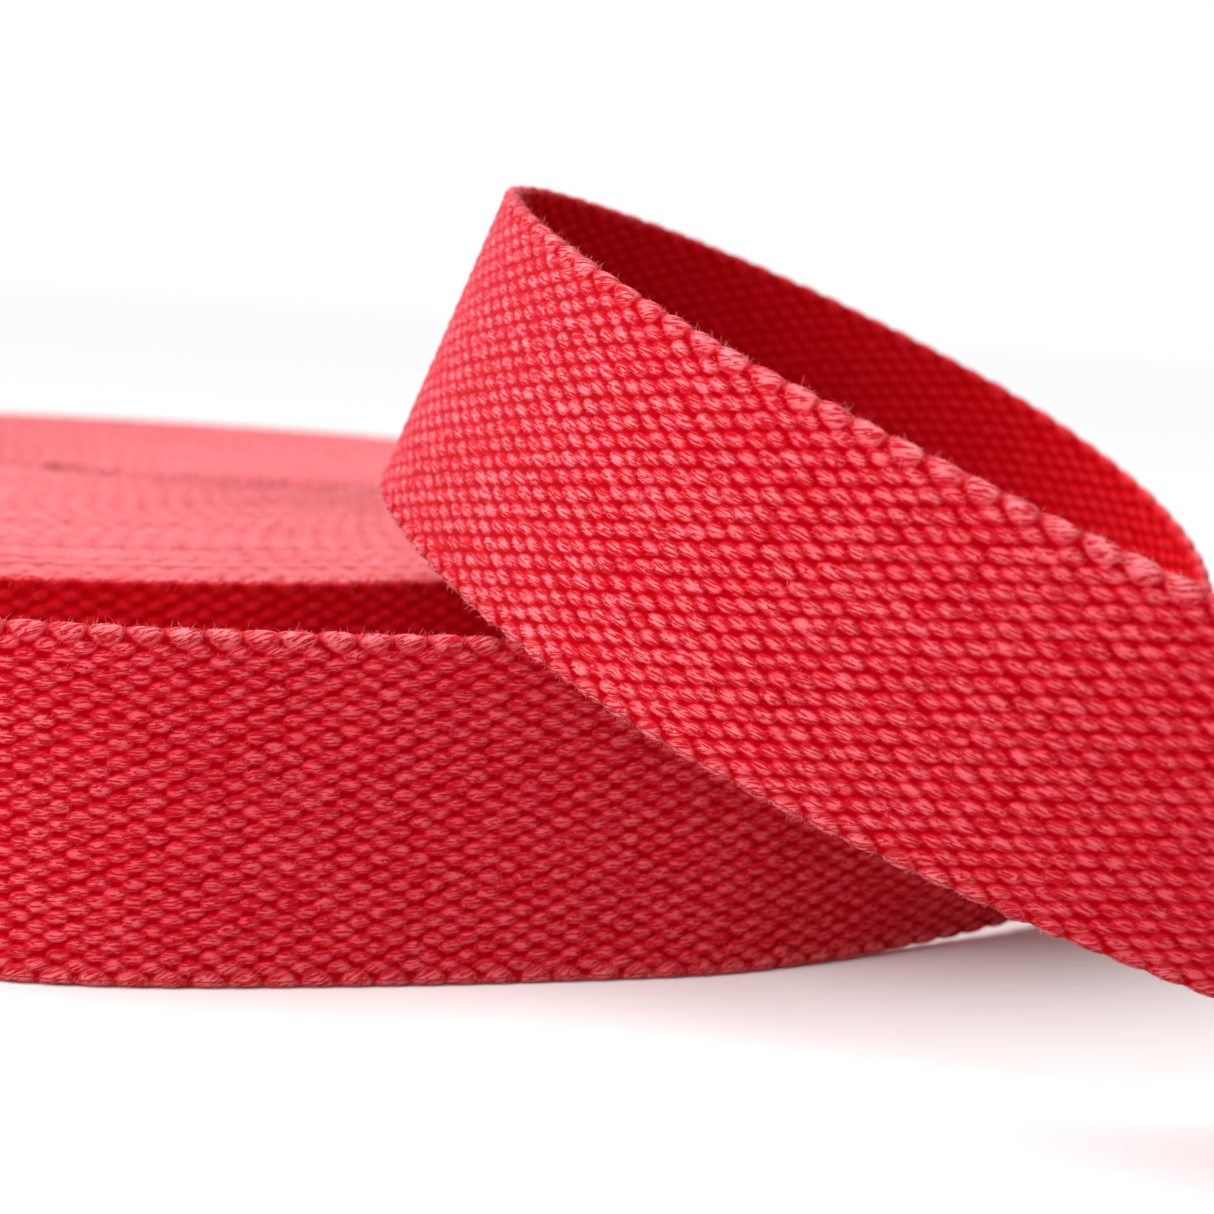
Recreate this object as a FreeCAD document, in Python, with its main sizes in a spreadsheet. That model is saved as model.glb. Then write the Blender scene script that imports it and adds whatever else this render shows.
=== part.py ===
import FreeCAD, Part
import math
import os

import Sketcher

# A roll of heavy woven webbing lying flat on a table. Its outer turn is pulled loose in
# front of the coil, rises into a loop and doubles back across its own front.
# Millimetres, +Z up. The origin is on the core's axis, at the table.
#
# The tape is wound anticlockwise seen from above. Its free length is a chain of stretches.
# Each has a length, a bend about the tape's own width (positive turns left) and a twist
# about the tape's own length (positive leans its top edge to the right).

SIZES = {
    "tape_width": 38.0,
    "tape_thickness": 2.2,
    "layer_step": 2.25,
    "core_bore_radius": 6.0,
    "core_wall": 1.5,
    "starter_thickness": 0.2,
    "starter_height": 24.0,
    "starter_angle": 150.0,
    "fit_gap": 0.1,
    "coil_radius": 139.0,
    "tape_start_angle": 142.0,
    "leave_angle": 238.0,
    "leave_gap": 0.4,
    "stretch_easing": 8.0,
    "table_gap": 0.1,
    "joint_gap": 2.4,
    "section_spacing": 9.0,
    "right_turn_station": 270.0,
    "left_turn_station": 420.0,
    "tail_station": 616.0,
}

# Name, length, bend in degrees, twist in degrees, in order from the coil.
STRETCHES = [
    ("away", 94.5, 11.5, 0.0),
    ("front_left", 47.0, 32.0, 0.0),
    ("front_middle", 58.5, 7.5, 0.0),
    ("front_right", 39.0, 8.0, 19.0),
    ("right_turn", 87.0, 143.0, 21.5),
    ("far_side", 77.5, 65.5, 7.0),
    ("left_turn", 28.5, 49.5, -0.5),
    ("band_top", 60.5, 48.5, 5.0),
    ("band_end", 72.0, 20.5, 17.5),
    ("settle_high", 27.0, 36.5, -19.0),
    ("settle_low", 34.5, 14.0, -14.0),
    ("tail", 60.0, 12.0, 0.0),
]

QUARTER_TURN = 90.0
WALK_STEP = 0.5


def fill_sheet(doc):
    """Put every driving dimension in the sheet, each under its own alias."""
    sheet = doc.addObject("Spreadsheet::Sheet", "sizes")
    rows = list(SIZES.items())
    for name, length, bend, twist in STRETCHES:
        rows.append((name + "_length", length))
        rows.append((name + "_bend", bend))
        rows.append((name + "_twist", twist))
    for number, (alias, size) in enumerate(rows, start=1):
        sheet.set("A%d" % number, alias)
        sheet.set("B%d" % number, str(size))
        sheet.setAlias("B%d" % number, alias)
    doc.recompute()
    return sheet


def new_body(doc, label):
    body = doc.addObject("PartDesign::Body", label)
    body.Label = label
    body.Placement = FreeCAD.Placement()
    return body


def flat_sketch(body, name):
    """A sketch on the body's own XY plane, which is the table."""
    sketch = body.newObject("Sketcher::SketchObject", name)
    for plane in body.Origin.OriginFeatures:
        if plane.Role == "XY_Plane":
            sketch.AttachmentSupport = [(plane, "")]
    sketch.MapMode = "FlatFace"
    return sketch


def pad_up(body, sketch, height):
    pad = body.newObject("PartDesign::Pad", sketch.Name + "_pad")
    pad.Profile = sketch
    pad.setExpression("Length", height)
    return pad


def direction(angle):
    """The unit vector in the table plane at an angle in degrees from +X."""
    turn = math.radians(angle)
    return FreeCAD.Vector(math.cos(turn), math.sin(turn), 0.0)


def add_line(sketch, start, end):
    return sketch.addGeometry(Part.LineSegment(start, end), False)


def add_arc(sketch, centre, radius, start_angle, end_angle):
    circle = Part.Circle(centre, FreeCAD.Vector(0, 0, 1), radius)
    arc = Part.ArcOfCircle(circle, math.radians(start_angle), math.radians(end_angle))
    return sketch.addGeometry(arc, False)


def bind(sketch, constraint, name, expression):
    """Add a dimension to a sketch and drive it from the sheet."""
    index = sketch.addConstraint(constraint)
    sketch.renameConstraint(index, name)
    sketch.setExpression("Constraints." + name, expression)


def join_ends(sketch, geometry):
    """Close a loop of lines and arcs that are drawn end to start."""
    for here, after in zip(geometry, geometry[1:] + geometry[:1]):
        sketch.addConstraint(Sketcher.Constraint("Coincident", here, 2, after, 1))


def make_core_tube(doc, sheet):
    """The paperboard tube that the tape is wound on."""
    body = new_body(doc, "core_tube")
    sketch = flat_sketch(body, "core_ring")
    rings = {
        "bore": (sheet.core_bore_radius, "sizes.core_bore_radius"),
        "outside": (
            sheet.core_bore_radius + sheet.core_wall,
            "sizes.core_bore_radius + sizes.core_wall",
        ),
    }
    for name, (radius, expression) in rings.items():
        circle = Part.Circle(FreeCAD.Vector(), FreeCAD.Vector(0, 0, 1), radius)
        index = sketch.addGeometry(circle, False)
        sketch.addConstraint(Sketcher.Constraint("Coincident", index, 3, -1, 1))
        bind(sketch, Sketcher.Constraint("Radius", index, radius), name, expression)
    pad_up(body, sketch, "sizes.tape_width")
    return body


def make_starter_tape(doc, sheet):
    """The adhesive strip between the core and the inner end of the webbing."""
    body = new_body(doc, "starter_tape")
    sketch = flat_sketch(body, "starter_band")
    inner = sheet.core_bore_radius + sheet.core_wall + sheet.fit_gap
    outer = inner + sheet.starter_thickness
    first = sheet.tape_start_angle - sheet.starter_angle / 2
    last = sheet.tape_start_angle + sheet.starter_angle / 2
    outside = add_arc(sketch, FreeCAD.Vector(), outer, first, last)
    last_side = add_line(sketch, direction(last) * outer, direction(last) * inner)
    inside = add_arc(sketch, FreeCAD.Vector(), inner, first, last)
    first_side = add_line(sketch, direction(first) * inner, direction(first) * outer)
    sketch.addConstraint(Sketcher.Constraint("Coincident", outside, 2, last_side, 1))
    sketch.addConstraint(Sketcher.Constraint("Coincident", last_side, 2, inside, 2))
    sketch.addConstraint(Sketcher.Constraint("Coincident", inside, 1, first_side, 1))
    sketch.addConstraint(Sketcher.Constraint("Coincident", first_side, 2, outside, 1))
    sketch.addConstraint(Sketcher.Constraint("Coincident", outside, 3, -1, 1))
    sketch.addConstraint(Sketcher.Constraint("Coincident", inside, 3, -1, 1))
    face = "sizes.core_bore_radius + sizes.core_wall + sizes.fit_gap"
    thickness = " + sizes.starter_thickness"
    bind(sketch, Sketcher.Constraint("Radius", inside, inner), "inner", face)
    bind(sketch, Sketcher.Constraint("Radius", outside, outer), "outer", face + thickness)
    centred = "(sizes.tape_width - sizes.starter_height) / 2"
    sketch.setExpression("AttachmentOffset.Base.z", centred)
    pad_up(body, sketch, "sizes.starter_height")
    return body


def add_spiral(sketch, name, angle, start_radius, growth, radius_text):
    """
    Draw one turn of a four-centred spiral and the step that closes it.

    Each quarter arc is a quarter of the growth larger than the one before, and its centre
    moves back along the radius they share, so the arcs meet smoothly.
    """
    centre = FreeCAD.Vector()
    radius = start_radius
    arcs = []
    for quarter in range(4):
        first = angle + quarter * QUARTER_TURN
        last = first + QUARTER_TURN
        index = add_arc(sketch, centre, radius, first, last)
        expression = "%s + sizes.layer_step * %d / 4" % (radius_text, quarter)
        constraint = Sketcher.Constraint("Radius", index, radius)
        bind(sketch, constraint, "%s_%d" % (name, quarter), expression)
        arcs.append(index)
        centre = centre - direction(last) * (growth / 4)
        radius += growth / 4
    outer_end = direction(angle) * (start_radius + growth)
    step = add_line(sketch, outer_end, direction(angle) * start_radius)
    join_ends(sketch, arcs + [step])


def make_wound_coil(doc, sheet):
    """The tight turns: one solid, whose outline and hole are each one turn of a spiral."""
    body = new_body(doc, "wound_coil")
    sketch = flat_sketch(body, "coil_outline")
    step = sheet.layer_step
    inner = sheet.core_bore_radius + sheet.core_wall + sheet.starter_thickness
    inner += 2 * sheet.fit_gap
    outside_text = "sizes.coil_radius - sizes.layer_step"
    inside_text = "sizes.core_bore_radius + sizes.core_wall + sizes.starter_thickness"
    inside_text += " + 2 * sizes.fit_gap"
    outer = sheet.coil_radius - step
    add_spiral(sketch, "outer", sheet.leave_angle, outer, step, outside_text)
    add_spiral(sketch, "inner", sheet.tape_start_angle, inner, step, inside_text)
    pad_up(body, sketch, "sizes.tape_width")
    return body


def eased(position, centre, half_width):
    """A smooth step from 0 to 1 around centre."""
    part = (position - centre + half_width) / (2 * half_width)
    part = min(max(part, 0.0), 1.0)
    return part * part * (3 - 2 * part)


def rate_at(position, ends, rates, easing):
    """The bend or twist per millimetre at a position, eased where two stretches meet."""
    rate = rates[0]
    for end, before, after in zip(ends, rates, rates[1:]):
        rate += (after - before) * eased(position, end, easing)
    return rate


def walk_tape(sheet):
    """
    Follow the free tape from the coil and return its stations.

    A station is a tuple: distance, middle point, direction along, direction across (up).
    """
    ends = []
    bends = []
    twists = []
    distance = 0.0
    for name, _, _, _ in STRETCHES:
        length = sheet.get(name + "_length")
        distance += length
        ends.append(distance)
        bends.append(math.radians(sheet.get(name + "_bend")) / length)
        twists.append(math.radians(sheet.get(name + "_twist")) / length)
    easing = sheet.stretch_easing
    last_layer_under = sheet.coil_radius - sheet.layer_step
    start_radius = last_layer_under + sheet.leave_gap + sheet.tape_thickness / 2
    point = direction(sheet.leave_angle) * start_radius
    point.z = sheet.tape_width / 2 + sheet.table_gap
    along = direction(sheet.leave_angle + QUARTER_TURN)
    across = FreeCAD.Vector(0, 0, 1)
    stations = []
    steps = int(round(distance / WALK_STEP))
    for number in range(steps + 1):
        stations.append((number * WALK_STEP, point, along, across))
        middle = (number + 0.5) * WALK_STEP
        bend = rate_at(middle, ends, bends, easing)
        twist = rate_at(middle, ends, twists, easing)
        spin = across * bend + along * twist
        angle = math.degrees(spin.Length * WALK_STEP)
        half_turn = FreeCAD.Rotation(spin, angle / 2)
        full_turn = FreeCAD.Rotation(spin, angle)
        point = point + half_turn.multVec(along) * WALK_STEP
        along = full_turn.multVec(along)
        across = full_turn.multVec(across)
    return stations


def section_placement(point, along, across):
    """Put a sketch's X axis through the tape's thickness and its Y axis across its width."""
    through = across.cross(along)
    matrix = FreeCAD.Matrix(
        through.x, across.x, along.x, point.x,
        through.y, across.y, along.y, point.y,
        through.z, across.z, along.z, point.z,
        0, 0, 0, 1,
    )
    return FreeCAD.Placement(matrix)


def add_section(body, sheet, name, station):
    """One rectangular cross-section of the tape."""
    sketch = body.newObject("Sketcher::SketchObject", name)
    sketch.MapMode = "Deactivated"
    x = sheet.tape_thickness / 2
    y = sheet.tape_width / 2
    corners = [
        FreeCAD.Vector(-x, -y, 0),
        FreeCAD.Vector(x, -y, 0),
        FreeCAD.Vector(x, y, 0),
        FreeCAD.Vector(-x, y, 0),
    ]
    sides = []
    for here, after in zip(corners, corners[1:] + corners[:1]):
        sides.append(add_line(sketch, here, after))
    join_ends(sketch, sides)
    bottom, right, top, left = sides
    for side in (bottom, top):
        sketch.addConstraint(Sketcher.Constraint("Horizontal", side))
    for side in (right, left):
        sketch.addConstraint(Sketcher.Constraint("Vertical", side))
    sketch.addConstraint(Sketcher.Constraint("Symmetric", bottom, 1, right, 2, -1, 1))
    thickness = Sketcher.Constraint("DistanceX", bottom, 1, bottom, 2, 2 * x)
    bind(sketch, thickness, "thickness", "sizes.tape_thickness")
    width = Sketcher.Constraint("DistanceY", right, 1, right, 2, 2 * y)
    bind(sketch, width, "width", "sizes.tape_width")
    _, point, along, across = station
    sketch.Placement = section_placement(point, along, across)
    return sketch


def make_tape_piece(doc, sheet, stations, label, start, end):
    """Loft the tape between two distances along it."""
    body = new_body(doc, label)
    spans = max(int(round((end - start) / sheet.section_spacing)), 2)
    sections = []
    for number in range(spans + 1):
        distance = start + (end - start) * number / spans
        station = stations[int(round(distance / WALK_STEP))]
        name = "%s_section_%d" % (label, number)
        sections.append(add_section(body, sheet, name, station))
    loft = body.newObject("PartDesign::AdditiveLoft", label + "_loft")
    loft.Profile = sections[0]
    loft.Sections = sections[1:]
    return body


def make_free_tape(doc, sheet):
    """The four stretches that move, with a small gap at each joint between them."""
    stations = walk_tape(sheet)
    half_gap = sheet.joint_gap / 2
    tape_end = stations[-1][0]
    cuts = [
        ("loose_turn", half_gap, sheet.right_turn_station - half_gap),
        ("raised_loop", sheet.right_turn_station + half_gap, sheet.left_turn_station - half_gap),
        ("front_band", sheet.left_turn_station + half_gap, sheet.tail_station - half_gap),
        ("free_tail", sheet.tail_station + half_gap, tape_end),
    ]
    return [make_tape_piece(doc, sheet, stations, *cut) for cut in cuts]


def check(doc, bodies):
    """Stop before writing if anything in the document failed."""
    for thing in doc.Objects:
        if "Invalid" in thing.State or "Error" in thing.State:
            raise RuntimeError("%s is %s" % (thing.Name, thing.State))
    for body in bodies:
        shape = body.Shape
        if shape.isNull() or not shape.isValid() or len(shape.Solids) != 1:
            raise RuntimeError("%s is not one valid solid" % body.Label)


def main():
    doc = FreeCAD.newDocument("webbing_roll")
    sheet = fill_sheet(doc)
    bodies = [
        make_core_tube(doc, sheet),
        make_starter_tape(doc, sheet),
        make_wound_coil(doc, sheet),
    ]
    bodies += make_free_tape(doc, sheet)
    doc.recompute()
    check(doc, bodies)
    os.makedirs("parts", exist_ok=True)
    for body in bodies:
        body.Shape.exportStep("parts/%s.step" % body.Label)
        print(body.Label, "volume %.0f mm3" % body.Shape.Volume)


main()
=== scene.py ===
import math

import bpy
import numpy as np
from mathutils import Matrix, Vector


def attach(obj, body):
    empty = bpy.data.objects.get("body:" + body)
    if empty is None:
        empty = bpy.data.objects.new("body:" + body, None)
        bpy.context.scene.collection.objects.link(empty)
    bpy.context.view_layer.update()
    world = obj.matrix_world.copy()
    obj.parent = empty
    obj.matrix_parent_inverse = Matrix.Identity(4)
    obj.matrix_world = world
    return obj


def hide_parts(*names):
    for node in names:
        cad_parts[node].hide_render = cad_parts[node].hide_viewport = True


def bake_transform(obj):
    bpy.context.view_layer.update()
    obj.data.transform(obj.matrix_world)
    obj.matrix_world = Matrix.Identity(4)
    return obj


# A roll of heavy woven webbing, its outer turn pulled loose into a raised loop.
# Sizes here are in millimetres and become metres when a mesh is made. The tape is followed
# by its distance s: 0 where it leaves the coil, negative back along the coil.

TAPE_WIDTH = 38.0
LAYER_STEP = 2.25
COIL_RADIUS = 139.0
COIL_HOLE_RADIUS = 7.9
LEAVE_ANGLE = math.radians(238.0)
LEAVE_GAP = 0.4
TAPE_THICKNESS = 2.2
TABLE_GAP = 0.1
STRETCH_EASING = 8.0
LEAVE_EASING = 60.0
WALK_STEP = 0.5

# Length, bend in degrees (left) and twist in degrees of each stretch of the free tape.
STRETCHES = [
    (94.5, 11.5, 0.0),
    (47.0, 32.0, 0.0),
    (58.5, 7.5, 0.0),
    (39.0, 8.0, 19.0),
    (87.0, 143.0, 21.5),
    (77.5, 65.5, 7.0),
    (28.5, 49.5, -0.5),
    (60.5, 48.5, 5.0),
    (72.0, 20.5, 17.5),
    (27.0, 36.5, -19.0),
    (34.5, 14.0, -14.0),
    (60.0, 12.0, 0.0),
]

# The weave: rows of grains along the tape, each row half a pitch along from its neighbours.
PITCH = 3.87
ROW = 0.981
FACE_ROWS = 37
EDGE_ROWS = 3
SIDE_ROWS = FACE_ROWS + EDGE_ROWS
RING_ROWS = 2 * SIDE_ROWS
FACE_HALF = FACE_ROWS * ROW / 2
BASE_HALF_THICKNESS = 0.66
EDGE_REACH = 0.40
GRAIN_HEIGHT = 0.44
GRAIN_HALF_LENGTH = 1.46
GRAIN_HALF_WIDTH = 0.83
GRAIN_ROUNDNESS = 0.6
GRAIN_SHIFT = 0.30
GRAIN_SIDE_SHIFT = 0.14
CROSS_YARN_HEIGHT = 0.24
CROSS_YARN_HALF_LENGTH = 0.85
CROSS_YARN_HALF_ROWS = 0.54
# The large grains of an edge wrap round it and cover this many rows of each face.
LUMP_ROWS = 1
LUMP_HEIGHT = 0.56
LUMP_HALF_LENGTH = 1.95
LUMP_HALF_WIDTH = 2.95
LUMP_ROUNDNESS = 0.35
LUMP_SHIFT = 0.40
LUMP_LEAN = 0.12
LUMP_FILL_HEIGHT = 0.38
LUMP_FILL_HALF_WIDTH = 2.6
# How many rows of a face an edge's look fades out over.
EDGE_FADE_ROWS = 1.7
# How many chance numbers each grain takes.
PICKS = 6

# Spacing of the mesh along the tape, on the free tape and on the coil's last turn.
FINE_STEP = PITCH / 9
COARSE_STEP = PITCH / 6
# Where the free tape's mesh is cut into pieces, in fine steps from where it leaves the coil.
TAPE_CUTS = [-70, 175, 431, 687, 930, 1174, 1391, 1595]
FINE_START = TAPE_CUTS[0] * FINE_STEP
LAST_TURN_PIECES = 3

# The coil's turns stand up or sink in waves: height, length and phase of each.
HEAVE_WAVES = [(0.12, 190, 0.7), (0.08, 71, 2.1), (0.05, 33, 4.0)]
HEAVE_LEVEL = -0.05
HEAVE_EASING = 120.0
# Between two turns the coil's top dips to this far above the top of the tape's flat faces.
VALLEY_RISE = 0.20
VALLEY_CROWN = 0.35
# The grains there stand on this much of their height, and add this much to it.
COIL_GRAIN_BASE = 0.25
COIL_GRAIN_SHARE = 0.85
# The turn of the coil beside which a narrow gap has opened, and its size in turns and mm.
GAP_TURN = 52.4
GAP_TURNS = 0.16
GAP_WIDTH = 0.9
GAP_DEPTH = 3.0
# How far the plain ridge under each turn hangs down and its crown value, at points across it.
UNDERSIDE_RISE = 0.1
UNDERSIDE = [(0.0, 0.0), (0.55, 0.6), (0.75, 1.0), (0.55, 0.6)]

# An edge standing on the table is pressed level: below this height, fading over the next.
PRESS_LIMIT = 1.0
PRESS_FADE = 0.8
PRESS_SHARE = 0.8
# The yarns of the cut end stand out in waves: height, rate round the tape and phase.
FRAY_WAVES = [(0.25, 2.6, 0.0), (0.2, 5.3, 1.0)]
FRAY_LENGTH = 3.0
# Painted shade: the inside of the loose tape is darkened up to the first distance, and the coil's
# last turn is darkened behind the second.
PAINTED_SHADE_END = 620.0
PAINTED_SHADE_END_FADE = 40.0
PAINTED_SHADE_START = -600.0
PAINTED_SHADE_START_FADE = 60.0

# Loose fibres. Near an edge and elsewhere: the share of the fibres, and their greatest length.
EDGE_FUZZ = (0.75, 1.5)
FACE_FUZZ = (0.25, 0.7)
COIL_FUZZ_LONGEST = 1.6
TAPE_FUZZ_PER_MM = 42
COIL_FUZZ_PER_MM = 20
FIBRE_LEAN = 0.9
FIBRE_LENGTH = 0.22
FIBRE_CURL = 0.36
FIBRE_ROOT = 0.05
FIBRE_THICKNESS = (0.014, 0.024)
# Nothing comes lower than this above the table.
TABLE_CLEARANCE = 0.02

LAST_TURN_RADIUS = COIL_RADIUS - LAYER_STEP / 2
LAST_TURN_LENGTH = 2 * math.pi * LAST_TURN_RADIUS
LEAVE_RADIUS = COIL_RADIUS - LAYER_STEP + LEAVE_GAP + TAPE_THICKNESS / 2
INNER_TURNS = (COIL_RADIUS - LAYER_STEP - COIL_HOLE_RADIUS) / LAYER_STEP


def smooth_step(value):
    value = np.clip(value, 0.0, 1.0)
    return value * value * (3 - 2 * value)


def chance(column, row, salt):
    """A repeatable number from 0 to 1 for each pair of whole numbers."""
    mixed = column.astype(np.int64) * 73856093 ^ row.astype(np.int64) * 19349663
    mixed = (mixed ^ (salt * 83492791)) & 0xFFFFFFFF
    mixed = (mixed * 2246822519) & 0xFFFFFFFF
    mixed ^= mixed >> 15
    mixed = (mixed * 3266489917) & 0xFFFFFFFF
    mixed ^= mixed >> 13
    return mixed / 4294967296.0


# ---------------------------------------------------------------- the path of the tape


def turned(vector, axis, angle):
    return (
        vector * math.cos(angle)
        + np.cross(axis, vector) * math.sin(angle)
        + axis * (axis @ vector) * (1 - math.cos(angle))
    )


def walk_free_tape():
    """Points, directions along and directions across at every half millimetre."""
    table = np.array(STRETCHES)
    ends = np.cumsum(table[:, 0])
    rates = np.radians(table[:, 1:]) / table[:, :1]
    point = np.array(
        [
            LEAVE_RADIUS * math.cos(LEAVE_ANGLE),
            LEAVE_RADIUS * math.sin(LEAVE_ANGLE),
            TAPE_WIDTH / 2 + TABLE_GAP,
        ]
    )
    along = np.array([-math.sin(LEAVE_ANGLE), math.cos(LEAVE_ANGLE), 0.0])
    across = np.array([0.0, 0.0, 1.0])
    points, alongs, acrosses = [], [], []
    for number in range(int(round(ends[-1] / WALK_STEP)) + 1):
        points.append(point)
        alongs.append(along)
        acrosses.append(across)
        middle = (number + 0.5) * WALK_STEP
        share = smooth_step((middle - ends[:-1] + STRETCH_EASING) / (2 * STRETCH_EASING))
        bend, twist = rates[0] + share @ np.diff(rates, axis=0)
        spin = across * bend + along * twist
        speed = np.linalg.norm(spin)
        axis = spin / speed
        angle = speed * WALK_STEP
        point = point + turned(along, axis, angle / 2) * WALK_STEP
        along = turned(along, axis, angle)
        across = turned(across, axis, angle)
    return np.array(points), np.array(alongs), np.array(acrosses)


FREE_POINTS, FREE_ALONG, FREE_ACROSS = walk_free_tape()
FREE_STATIONS = np.arange(len(FREE_POINTS)) * WALK_STEP


def turn_heave(s):
    """How far the turns of the coil stand up or sink, so their edges aren't level."""
    waves = sum(height * np.sin(s / length + phase) for height, length, phase in HEAVE_WAVES)
    return (waves + HEAVE_LEVEL) * smooth_step((FINE_START - s) / HEAVE_EASING)


def path(s):
    """Points and directions of the tape's middle line, on the last turn of the coil or free."""
    s = np.asarray(s, float)
    on_coil = s < 0
    angle = LEAVE_ANGLE + s / LAST_TURN_RADIUS
    rise = smooth_step(1 + s / LEAVE_EASING)
    radius = LAST_TURN_RADIUS + LAYER_STEP * (s / LAST_TURN_LENGTH)
    radius = radius + (LEAVE_RADIUS - LAST_TURN_RADIUS) * rise
    height = TAPE_WIDTH / 2 + TABLE_GAP * rise + turn_heave(s)
    circle = np.stack([radius * np.cos(angle), radius * np.sin(angle), height], 1)
    tangent = np.stack([-np.sin(angle), np.cos(angle), 0 * angle], 1)
    free = np.stack([np.interp(s, FREE_STATIONS, FREE_POINTS[:, i]) for i in range(3)], 1)
    along = np.stack([np.interp(s, FREE_STATIONS, FREE_ALONG[:, i]) for i in range(3)], 1)
    across = np.stack([np.interp(s, FREE_STATIONS, FREE_ACROSS[:, i]) for i in range(3)], 1)
    point = np.where(on_coil[:, None], circle, free)
    along = np.where(on_coil[:, None], tangent, along)
    across = np.where(on_coil[:, None], [0.0, 0.0, 1.0], across)
    along /= np.linalg.norm(along, axis=1, keepdims=True)
    across /= np.linalg.norm(across, axis=1, keepdims=True)
    return point, along, across


# ---------------------------------------------------------------- the weave


def section(u):
    """
    The tape's plain cross-section at ring coordinate u, counted in rows.

    Returns height across, distance through (positive is the inside of the bend) and the
    outward normal in the same two directions. u runs up the outside, over the top edge,
    down the inside and under the bottom edge.
    """
    u = np.mod(u, RING_ROWS)
    half = RING_ROWS / 2
    inside = u >= half
    v = np.where(inside, u - half, u)
    on_edge = v >= FACE_ROWS
    turn = np.clip((v - FACE_ROWS) / EDGE_ROWS, 0, 1) * math.pi
    across = np.where(on_edge, FACE_HALF + EDGE_REACH * np.sin(turn), v * ROW - FACE_HALF)
    through = -BASE_HALF_THICKNESS * np.cos(turn)
    normal_across = np.sin(turn)
    normal_through = -np.cos(turn)
    sign = np.where(inside, -1.0, 1.0)
    return across * sign, through * sign, normal_across * sign, normal_through * sign


def grain_height(x, y, half_length, half_width, roundness, pick):
    """
    The height from 0 to 1 of a plump grain of yarn, x along it and y across it.

    Its size, turn and strands vary a little with the chance numbers in pick.
    """
    # Each grain is turned and bowed a little.
    turn = 0.12 * (pick[2] - 0.5)
    x, y = x * np.cos(turn) + y * np.sin(turn), y * np.cos(turn) - x * np.sin(turn)
    y = y + 0.05 * np.sin(3.0 * x + 6.3 * pick[5])
    # It narrows to both ends, and a few strands run along it.
    taper = np.clip(1 - (x / (half_length * (0.93 + 0.12 * pick[3]))) ** 2, 0, 1)
    width = half_width * (0.94 + 0.11 * pick[5]) * taper**roundness + 1e-6
    side = np.clip(y / width, -1, 1)
    strands = np.cos(2 * math.pi * (1.15 * side + pick[1]))
    height = taper**0.45 * (1 - side**2) ** 0.42 * (0.86 + 0.14 * pick[4])
    return height * (0.95 + 0.05 * strands)


def weave(s, u):
    """
    The grains at distance s and ring coordinate u.

    Returns the height from 0 to 1 and the chance number of the grain that is highest there.
    """
    best = np.zeros(np.broadcast(s, u).shape)
    owner = np.zeros_like(best)
    base_row = np.floor(u)
    for neighbour in (-1, 0, 1):
        row = base_row + neighbour
        ring_row = np.mod(row, RING_ROWS)
        face_row = np.mod(row, SIDE_ROWS)
        on_face = (face_row >= LUMP_ROWS) & (face_row < FACE_ROWS - LUMP_ROWS)
        start = np.mod(ring_row, 2) * PITCH / 2
        # The cross yarn shows low down between the grains of a row.
        gap_x = np.mod(s - start, PITCH) - PITCH / 2
        gap = np.clip(1 - (gap_x / CROSS_YARN_HALF_LENGTH) ** 2, 0, 1)
        gap = gap * np.clip(1 - ((u - row - 0.5) / CROSS_YARN_HALF_ROWS) ** 2, 0, 1)
        best = np.maximum(best, on_face * CROSS_YARN_HEIGHT * gap**0.5)
        nearest = np.round((s - start) / PITCH)
        for number in (nearest - 1, nearest, nearest + 1):
            pick = [chance(ring_row + 0 * s, number, salt) for salt in range(PICKS)]
            x = s - start - number * PITCH - GRAIN_SHIFT * (pick[0] - 0.5)
            y = (u - row - 0.5) * ROW - GRAIN_SIDE_SHIFT * (pick[1] - 0.5)
            height = on_face * grain_height(
                x, y, GRAIN_HALF_LENGTH, GRAIN_HALF_WIDTH, GRAIN_ROUNDNESS, pick
            )
            owner = np.where(height > best, pick[4], owner)
            best = np.maximum(best, height)
    # The large grains of the nearer edge, over a plain filling.
    side_number = np.floor((u + EDGE_ROWS / 2 - FACE_ROWS / 2) / SIDE_ROWS)
    middle = side_number * SIDE_ROWS + FACE_ROWS + EDGE_ROWS / 2
    y = (u - middle) * ROW
    fill = np.clip(1 - (y / LUMP_FILL_HALF_WIDTH) ** 2, 0, 1) ** 0.5
    best = np.maximum(best, LUMP_FILL_HEIGHT * fill)
    nearest = np.round(s / PITCH)
    for number in (nearest - 1, nearest, nearest + 1):
        pick = [chance(middle + 0 * s, number, salt) for salt in range(PICKS)]
        x = s - number * PITCH - LUMP_SHIFT * (pick[0] - 0.5) + LUMP_LEAN * y
        height = grain_height(x, y, LUMP_HALF_LENGTH, LUMP_HALF_WIDTH, LUMP_ROUNDNESS, pick)
        owner = np.where(height > best, pick[4], owner)
        best = np.maximum(best, height)
    return best, owner


def edge_share(u):
    """1 on the rounded edges of the tape, falling to 0 on its faces."""
    v = np.mod(u, SIDE_ROWS)
    beyond = np.minimum(np.abs(v - FACE_ROWS - EDGE_ROWS / 2), v + EDGE_ROWS / 2)
    return np.clip(1 - (beyond - EDGE_ROWS / 2) / EDGE_FADE_ROWS, 0, 1)


def painted_shade(s, normal_n):
    """
    1 on the faces that are given painted shade, in their deepest colour:
    the inside of the loose turn and loop, and the coil's side behind the loose turn.
    """
    inner_face = smooth_step((normal_n - 0.2) / 0.7)
    loose = inner_face * smooth_step((PAINTED_SHADE_END - s) / PAINTED_SHADE_END_FADE) * (s > 0)
    outer_face = smooth_step((-normal_n - 0.6) / 0.4)
    behind = outer_face * smooth_step((PAINTED_SHADE_START - s) / PAINTED_SHADE_START_FADE)
    return loose + behind
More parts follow.
